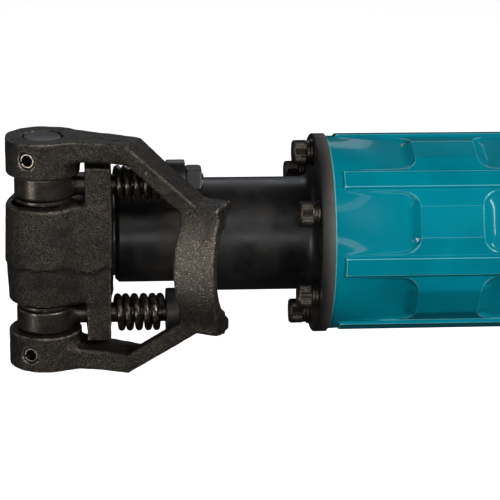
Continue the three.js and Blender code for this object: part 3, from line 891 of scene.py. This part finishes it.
BARREL_R, FLANGE_FACE, FLANGE_BACK, FLANGE_R, FILLET_R = 36.4, 195.8, 204, 64, 8
SCREW_CIRCLE_R = 53.6
quarter = [math.pi / 2 * k / 10 for k in range(11)]
fillet = [(FLANGE_FACE - FILLET_R + FILLET_R * math.sin(a), BARREL_R + FILLET_R - FILLET_R * math.cos(a))
          for a in quarter]
mouth = eased([(118.3, 27.3), (118.3, BARREL_R - 1), (119.3, BARREL_R), fillet[0]], 0.5)
rim = eased([fillet[-1], (FLANGE_FACE, FLANGE_R - 0.8), (FLANGE_FACE + 0.8, FLANGE_R),
             (FLANGE_BACK, FLANGE_R)], 0.3)
bored = [(FLANGE_BACK, 24), (140, 24), (140, 27.3), (118.3, 27.3)]
barrel = turned("barrel_and_flange", mouth[:-1] + fillet + rim[1:] + bored, BLACKED_BARREL, segments=160)
drills = [turned("drill", [(190, 0), (190, 4.5), (210, 4.5), (210, 0)], BLACKED_BARREL,
                 round_the_axis(SCREW_CIRCLE_R, 30 + 60 * k), segments=24)
          for k in range(6)]
stand_for(cut_away(barrel, *drills), "nose_barrel")

ring = ring_tree()


def six_sided(x0, x1, flats, centre=(0, 0)):
    r = flats / math.sqrt(3)
    return turned("broach", [(x0, 0), (x0, r), (x1, r), (x1, 0)], FASTENER, centre, segments=6)


def cap_screw(front, seat, head_r, shank_r, end, socket, deep):
    """A socket head screw along +X, its head knurled round the rim."""
    knurled = (front + 1.5, seat - 0.6)
    profile = eased([(front, 0), (front, head_r - 0.9), (front + 1.1, head_r)], 0.3)
    profile += [(along, head_r) for along in (knurled[0], knurled[0] + 0.15, knurled[1] - 0.15, knurled[1])]
    profile += [(seat, head_r - 0.3), (seat, shank_r), (end - 0.8, shank_r), (end, shank_r - 0.8), (end, 0)]
    made = turned("screw_master", profile, FASTENER, segments=96)
    for vertex in made.data.vertices:
        along, y, z = (c / MM for c in vertex.co)
        notch = round(math.degrees(math.atan2(z, y)) / 3.75) % 2
        if notch and knurled[0] + 0.1 < along < knurled[1] - 0.1 and math.hypot(y, z) > head_r - 0.1:
            vertex.co.y *= 1 - 0.28 / head_r
            vertex.co.z *= 1 - 0.28 / head_r
    return cut_away(made, six_sided(front - 1, front + deep, socket))


def set_round(name, master, standing_for, **values):
    """Copies of the master round the flange, as one piece. The master is used up."""
    made = ring.build(name, Piece=master, Finish=FASTENER, Circle_Radius=SCREW_CIRCLE_R * MM, **values)
    stand_for(made, *standing_for)
    bpy.data.objects.remove(master)


screw_names = ["flange_screw_%d" % k for k in range(1, 7)]
washer_names = ["flange_washer_%d" % k for k in range(1, 7)]
set_round("flange_screws", cap_screw(182.6, 191.6, 8.0, 4.2, 226, 7.2, 5.0), screw_names)


def washer_pair():
    """A split spring washer on a flat washer."""
    flat = turned("flat_washer", ring_profile(194.0, 195.5, 8.5, 4.5, 0.3), FASTENER, segments=64)
    spring = turned("split_washer", ring_profile(191.9, 193.8, 7.6, 4.5, 0.3), FASTENER, segments=64)
    slit = turned("slit", [(191, 0), (191, 1.0), (195, 1.0), (195, 0)], FASTENER, (6.2, 0), segments=4)
    spring = cut_away(spring, slit)
    bm = bmesh.new()
    bm.from_mesh(flat.data)
    bm.from_mesh(spring.data)
    bm.to_mesh(flat.data)
    bm.free()
    bpy.data.objects.remove(spring)
    flat.data.polygons.foreach_set("use_smooth", [True] * len(flat.data.polygons))
    return flat


set_round("flange_washers", washer_pair(), washer_names, Turn_Spread=5.0, Seed=8)


# ---------------------------------------------------------------- painted housing
BANDS, FIRST_BAND = 7, 23.0
COLLAR_R, WAIST, FLOOR, RAIL_TOP, RAIL_HALF = 62.4, 61.9, 58.2, 63.7, 5.4
REAR_R, BORE_R = 63.9, 48.6
HOUSING_FRONT, HOUSING_BACK = 204.3, 440.0
POCKET_HALF = 20.9
# Start, end and step of the rows along the housing, closer where its surface turns.
X_LINES = [(204.3, 212, 0.65), (212, 246, 2.6), (246, 262, 0.6), (262, 292, 3.0), (292, 309, 0.6),
           (309, 342, 3.3), (342, 358, 0.6), (358, 376, 3.0), (376, 394, 0.75), (394, 440, 6.0)]
POCKETS = [(150.0, 258.0), (297.3, 355.2)]


def housing_radius(x, across):
    """Radius of the painted surface, from x and the angle away from the middle of the nearest pocket."""
    u = WAIST * np.tan(across)
    facet_turn = math.radians(17.8)
    crest = WAIST / np.cos(across)
    slope = 61.98 / np.cos(np.abs(across) - facet_turn)
    waist = round_join(crest, slope, 0.35)
    surface = waist
    for start, end in POCKETS:
        mid, half = (start + end) / 2, (end - start) / 2
        corner = 13.0
        inside = -capped(np.abs(x - mid) - half, np.abs(u) - POCKET_HALF, corner)
        wall = 0.60 * (half - np.abs(x - mid))
        lip = 1.35 * inside
        fall = round_join(wall, lip, 0.5)
        deep = common(waist - np.maximum(fall, -2.0), FLOOR / np.cos(across), 1.3)
        surface = round_join(surface, deep, 0.28)
    surface = surface + (COLLAR_R - surface) * (1 - smooth_step(x, 198.0, 247.0))
    from_rail = math.pi / BANDS - np.abs(across)
    rail = RAIL_TOP / np.cos(from_rail)
    side = 1.6 * (np.maximum(from_rail * 62 - RAIL_HALF, -9))
    ends = 1.4 * (np.maximum(211.3 - x, 0) + np.maximum(x - 391, 0))
    rail = rail - np.maximum(common(side, ends, 0.5), 0)
    surface = np.maximum(surface, common(surface, rail, 0.5))
    rear = REAR_R - 2.2 * (1 - smooth_step(x, 379.5, 382.0))
    surface = np.where(x > 379.5, common(surface, rear, 0.4), surface)
    surface = surface - 0.5 * np.maximum(1 - (x - HOUSING_FRONT) / 0.9, 0) ** 2
    surface = surface - 0.6 * np.maximum(1 - (HOUSING_BACK - x) / 1.2, 0) ** 2
    return np.minimum(surface, 64.0)


def housing_shell():
    across = np.concatenate([np.arange(0, 20.0, 0.95), [8.9, 9.2, 9.5], np.arange(18.2, 21.6, 0.27),
                             [22.2, 23.0, 24.0, 25.0]])
    across = np.unique(np.round(across, 4))
    half_band = 180.0 / BANDS
    one = np.concatenate([-across[:0:-1], across])
    turns = np.concatenate([[half_band * 2 * k + a for a in one] + [half_band * (2 * k + 1)]
                            for k in range(BANDS)], axis=None)
    local = np.concatenate([list(one) + [half_band] for _ in range(BANDS)], axis=None)
    xs = np.concatenate([np.arange(a, b - 0.3 * step, step) for a, b, step in X_LINES] + [[HOUSING_BACK]])
    grid_x, grid_a = np.meshgrid(xs, np.radians(local), indexing="ij")
    radius = housing_radius(grid_x, grid_a)
    phi = np.radians(turns + FIRST_BAND)
    ring_points = [np.stack([grid_x, -radius * np.cos(phi), radius * np.sin(phi)], -1)]
    for along, r in ((HOUSING_BACK, BORE_R + 0.6), (HOUSING_BACK - 0.6, BORE_R),
                     (HOUSING_FRONT + 0.6, BORE_R), (HOUSING_FRONT, BORE_R + 0.6)):
        ring_points.append(np.stack([np.full(phi.shape, along), -r * np.cos(phi), r * np.sin(phi)], -1)[None])
    rows = np.concatenate(ring_points)
    count, around = rows.shape[:2]
    faces = []
    for i in range(count):
        n = (i + 1) % count
        for k in range(around):
            m = (k + 1) % around
            faces.append((i * around + k, n * around + k, n * around + m, i * around + m))
    made = raw_object("ribbed_housing", rows.reshape(-1, 3) * MM, faces, PAINT)
    made.data.set_sharp_from_angle(angle=math.radians(60))
    return made


stand_for(housing_shell(), "housing")

# ---------------------------------------------------------------- rear end
INLET_X = 466
BACK_SCREW_OUT = 39.6
VALVE_Z = 62
deflector = turned("deflector_band", ring_profile(392, 436, 69, 64.3, 1.2), BLACKED, segments=144)
port = turned("port", [(50, 0), (50, 9), (90, 9), (90, 0)], BLACKED, (418, 0), "Y", 48)
stand_for(cut_away(deflector, port), "exhaust_deflector")


def backhead_shape(x, y, z):
    r = np.hypot(y, z)
    dome = capped(outline(x, r, [(430.4, -5), (430.4, 48.3), (440.3, 48.3), (440.3, 64), (452, 64), (458, 60),
                                 (486, 46), (486, -5)]), r - 64, 0.2)
    boss = shaft(z, x - INLET_X, y, 19.5, 0, 65.9, 1.2)
    d = round_join(dome, boss, 4.0)
    d = round_cut(d, shaft(z, x - INLET_X, y, 14.3, 20, 80), 0.8)
    d = round_cut(d, np.maximum(np.hypot(z, x - INLET_X) - 9, np.abs(y - 5) - 15), 0.4)
    d = round_cut(d, shaft(y, z, x, 9.0, 420, 470), 0.4)
    d = round_cut(d, shaft(y, z - 22, x, 8.0, 460, 500), 0.5)
    spot = np.hypot(np.abs(y) - BACK_SCREW_OUT, np.abs(z) - BACK_SCREW_OUT)
    d = round_cut(d, np.maximum(spot - 7, 450.3 - x), 0.8)
    return round_cut(d, np.maximum(spot - 3.3, 436 - x), 0.2)


stand_for(forged_piece("backhead_casting", backhead_shape, (430, -65, -65), (487, 67, 65), 1.25, CAST),
          "backhead")

for k, angle in enumerate((45, 135, 225, 315), 1):
    spot = round_the_axis(56, angle)
    profile = eased([(440.6, 0), (440.6, 3), (450.6, 3), (450.6, 6), (457, 6), (457, 0)], 0.7)
    screw = turned("rear_screw_%d" % k, profile, ZINC, spot, segments=48)
    stand_for(cut_away(screw, six_sided(453.5, 460, 5, spot)), "backhead_screw_%d" % k)

thread = [point for n in range(6) for point in ((75.0 + 1.8 * n, 12.5), (75.9 + 1.8 * n, 11.6))]
swivel = eased([(31, 8), (31, 14), (66.5, 14), (66.5, 18), (74, 18), (74, 12.5), thread[0]], 0.6)
swivel += thread[1:] + [(86.2, 12.3), (87.6, 11), (87.6, 8), (31, 8)]
stand_for(turned("inlet_fitting", swivel, ZINC, (INLET_X, 0), "Y", 72), "inlet_swivel")


# ---------------------------------------------------------------- handle
LEVER_X, LEVER_Z = 586, 53
OUTSIDE = [(486.3, -40), (508.3, -66), (540, -74), (628, -74), (642, -62), (642, 62), (628, 74), (540, 74),
           (508.3, 66), (486.3, 40)]
INSIDE = [(514, -32), (536, -50), (608, -50), (608, 50), (536, 50), (514, 32)]


def handle_shape(x, y, z):
    deep = np.abs(y) - 17
    loop = capped(outline(x, z, OUTSIDE), deep, 5.0)
    d = round_cut(loop, outline(x, z, INSIDE), 5.0)
    d = round_cut(d, np.maximum(np.maximum(600 - x, np.abs(z) - 50), x - 660), 1.0)
    d = round_join(d, shaft(x - 622, y, z, 13, -50.2, 50.2), 0.5)
    d = round_cut(d, shaft(y, z - VALVE_Z, x, 7.3, 516, 579), 0.5)
    d = round_cut(d, np.maximum(np.hypot(y, z - VALVE_Z) - 3.4, np.abs(x - 582.5) - 7.5), 0.3)
    d = round_cut(d, block((x, y, z), (579.8, -5.3, 40), (592.6, 5.3, 68.5), 0.2), 0.8)
    d = round_cut(d, np.hypot(x - LEVER_X, z - LEVER_Z) - 3.0, 0.4)
    d = round_cut(d, shaft(y, z - 22, x, 8.0, 480, 510), 0.4)
    channel = outline(x, z, [(496, 14), (528, 56), (519, 66), (487, 24)])
    return round_cut(d, np.maximum(channel, np.abs(y) - 5), 0.4)


stand_for(forged_piece("handle_casting", handle_shape, (486, -18, -75), (643, 18, 75), 1.25, CAST),
          "handle_frame")


def grip_tree():
    """A sleeve with rings round it, from a ridged profile swept about the bar."""
    tree = Tree("ringed_sleeve", [
        ("Low", "NodeSocketFloat", -0.0497), ("High", "NodeSocketFloat", 0.0497),
        ("Outer", "NodeSocketFloat", 0.0189), ("Inner", "NodeSocketFloat", 0.0133),
        ("Ridges", "NodeSocketFloat", 15.0), ("Depth", "NodeSocketFloat", 0.0011),
        ("Centre", "NodeSocketVector", (0.622, 0.0, 0.0)), ("Finish", "NodeSocketMaterial", None)])
    tube = tree.node("GeometryNodeMeshCylinder", {"fill_type": "NONE"}, Vertices=72, Side_Segments=240,
                     Radius=1.0, Depth=1.0).outputs[0]
    spot = tree.node("ShaderNodeSeparateXYZ", None, i0=tree.node("GeometryNodeInputPosition").outputs[0])
    along = tree.maths("MULTIPLY", tree.maths("ADD", spot.outputs["Z"], 0.5), 2.0)
    out_share = tree.maths("MINIMUM", tree.maths("MULTIPLY", along, 1.02), 1.0)
    back_share = tree.maths("MAXIMUM", tree.maths("SUBTRACT", tree.maths("MULTIPLY", along, 1.02), 1.02), 0.0)
    length = tree.maths("SUBTRACT", tree.input("High"), tree.input("Low"))
    travel = tree.maths("SUBTRACT", out_share, back_share)
    z = tree.maths("ADD", tree.input("Low"), tree.maths("MULTIPLY", length, travel))
    ridges = tree.maths("MULTIPLY", out_share, tree.input("Ridges"))
    wave = tree.maths("COSINE", tree.maths("MULTIPLY", ridges, 2 * math.pi))
    dip = tree.maths("MULTIPLY", tree.maths("SUBTRACT", 1.0, tree.maths("POWER", tree.maths(
        "ABSOLUTE", wave), 0.5)), tree.input("Depth"))
    ridged = tree.maths("SUBTRACT", tree.input("Outer"), dip)
    on_back = tree.maths("GREATER_THAN", back_share, 1e-5)
    radius = tree.maths("ADD", tree.maths("MULTIPLY", tree.maths("SUBTRACT", 1.0, on_back), ridged),
                        tree.maths("MULTIPLY", on_back, tree.input("Inner")))
    flat = tree.node("ShaderNodeCombineXYZ", None, X=tree.maths("MULTIPLY", spot.outputs["X"], radius),
                     Y=tree.maths("MULTIPLY", spot.outputs["Y"], radius), Z=z).outputs[0]
    where = tree.placed(flat)
    moved = tree.node("GeometryNodeSetPosition", None, Geometry=tube, Position=where).outputs[0]
    tree.close(moved)
    return tree


def closed_sleeve(made):
    """Joins the two open rims of a swept sleeve and turns its faces outwards."""
    bm = bmesh.new()
    bm.from_mesh(made.data)
    rims = [e for e in bm.edges if e.is_boundary]
    bmesh.ops.bridge_loops(bm, edges=rims)
    bmesh.ops.recalc_face_normals(bm, faces=bm.faces)
    bm.to_mesh(made.data)
    bm.free()
    return made


stand_for(closed_sleeve(grip_tree().build("ringed_grip", Finish=RUBBER)), "handle_grip")


def lever_shape(x, y, z):
    web = capped(outline(x, z, [(581.6, 66), (590.8, 66), (591, 42), (597, 34), (593, -34), (586, -38),
                                (582, -30), (584, 36)]), np.abs(y) - 5, 0.8)
    pad = capped(outline(x, z, [(590, 32), (597, 34), (593, -34), (586.5, -36)]), np.abs(y) - 9, 1.6)
    return round_cut(round_join(web, pad, 2.0), np.hypot(x - LEVER_X, z - LEVER_Z) - 3.1, 0.4)


stand_for(forged_piece("lever_blade", lever_shape, (581, -10, -39), (598, 10, 67), 0.8, BLACKED_UPRIGHT),
          "throttle_lever")
axle = eased([(-17, 0), (-17, 2.7), (17, 2.7), (17, 0)], 0.5)
stand_for(turned("lever_axle", axle, GROUND, (LEVER_X, LEVER_Z), "Y", 40), "lever_pin")

valve_coil = coils.build("valve_return_coil", Start=0.521, Length=0.0346, Mean_Radius=0.0051,
                         Wire_Radius=0.001, Turns=7.3, Centre=(0.0, 0.0, VALVE_Z * MM), Finish=SPRING)
stand_for(valve_coil, "throttle_spring")
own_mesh(valve_coil)

# ---------------------------------------------------------------- finishes of the pieces kept as designed
for name, node in nodes.items():
    for slot in node.material_slots:
        slot.material = SLOT_FINISH[slot_of[name]]

# ---------------------------------------------------------------- floor, lights and world
def studio_floor():
    material = bpy.data.materials.new("studio_floor")
    material.use_nodes = True
    surface = material.node_tree.nodes["Principled BSDF"]
    surface.inputs["Base Color"].default_value = (0.93, 0.93, 0.93, 1)
    surface.inputs["Roughness"].default_value = 0.9
    surface.inputs["Specular IOR Level"].default_value = 0.0
    surface.inputs["Emission Color"].default_value = (1, 1, 1, 1)
    surface.inputs["Emission Strength"].default_value = 0.9
    mesh = bpy.data.meshes.new("studio_floor")
    far, z = 30.0, -0.30
    mesh.from_pydata([(-far, -far, z), (far, -far, z), (far, far, z), (-far, far, z)], [], [(0, 1, 2, 3)])
    mesh.materials.append(material)
    floor = bpy.data.objects.new("studio_floor", mesh)
    bpy.context.scene.collection.objects.link(floor)
    floor.visible_diffuse = False
    floor.visible_glossy = False


def soft_light(name, place, at, size, watts, colour=(1, 1, 1)):
    data = bpy.data.lights.new(name, "AREA")
    data.shape = "RECTANGLE"
    data.size, data.size_y = size
    data.energy = watts
    data.color = colour
    light = bpy.data.objects.new(name, data)
    light.location = Vector(place) + SHIFT
    light.rotation_euler = (Vector(at) - Vector(place)).to_track_quat("-Z", "Y").to_euler()
    bpy.context.scene.collection.objects.link(light)


studio_floor()
soft_light("right_key", (1.08, -1.0, 0.76), (0.2, 0, 0.0), (0.5, 0.35), 20)
soft_light("front_card", (0.10, -1.75, 0.30), (0.15, 0, 0.0), (1.5, 0.22), 6)
soft_light("upper_card", (0.10, -1.25, 1.22), (0.15, 0, 0.0), (1.5, 0.22), 3)
soft_light("left_card", (-1.15, -1.15, -0.15), (0.05, 0, 0.0), (0.16, 0.26), 7)
soft_light("left_edge", (-1.2, 0.3, 0.25), (0.1, 0, 0), (0.5, 0.9), 1.6, (0.93, 0.96, 1.0))
soft_light("rear_fill", (0.4, 1.5, 1.05), (0.2, 0, 0), (1.4, 0.4), 4, (0.88, 0.93, 1.0))
world = bpy.data.worlds.new("studio")
world.use_nodes = True
world.node_tree.nodes["Background"].inputs["Color"].default_value = (1, 1, 1, 1)
world.node_tree.nodes["Background"].inputs["Strength"].default_value = 0.025
bpy.context.scene.world = world
bpy.context.scene.view_settings.view_transform = "Standard"

# ---------------------------------------------------------------- final update of the view layer
bpy.context.view_layer.update()
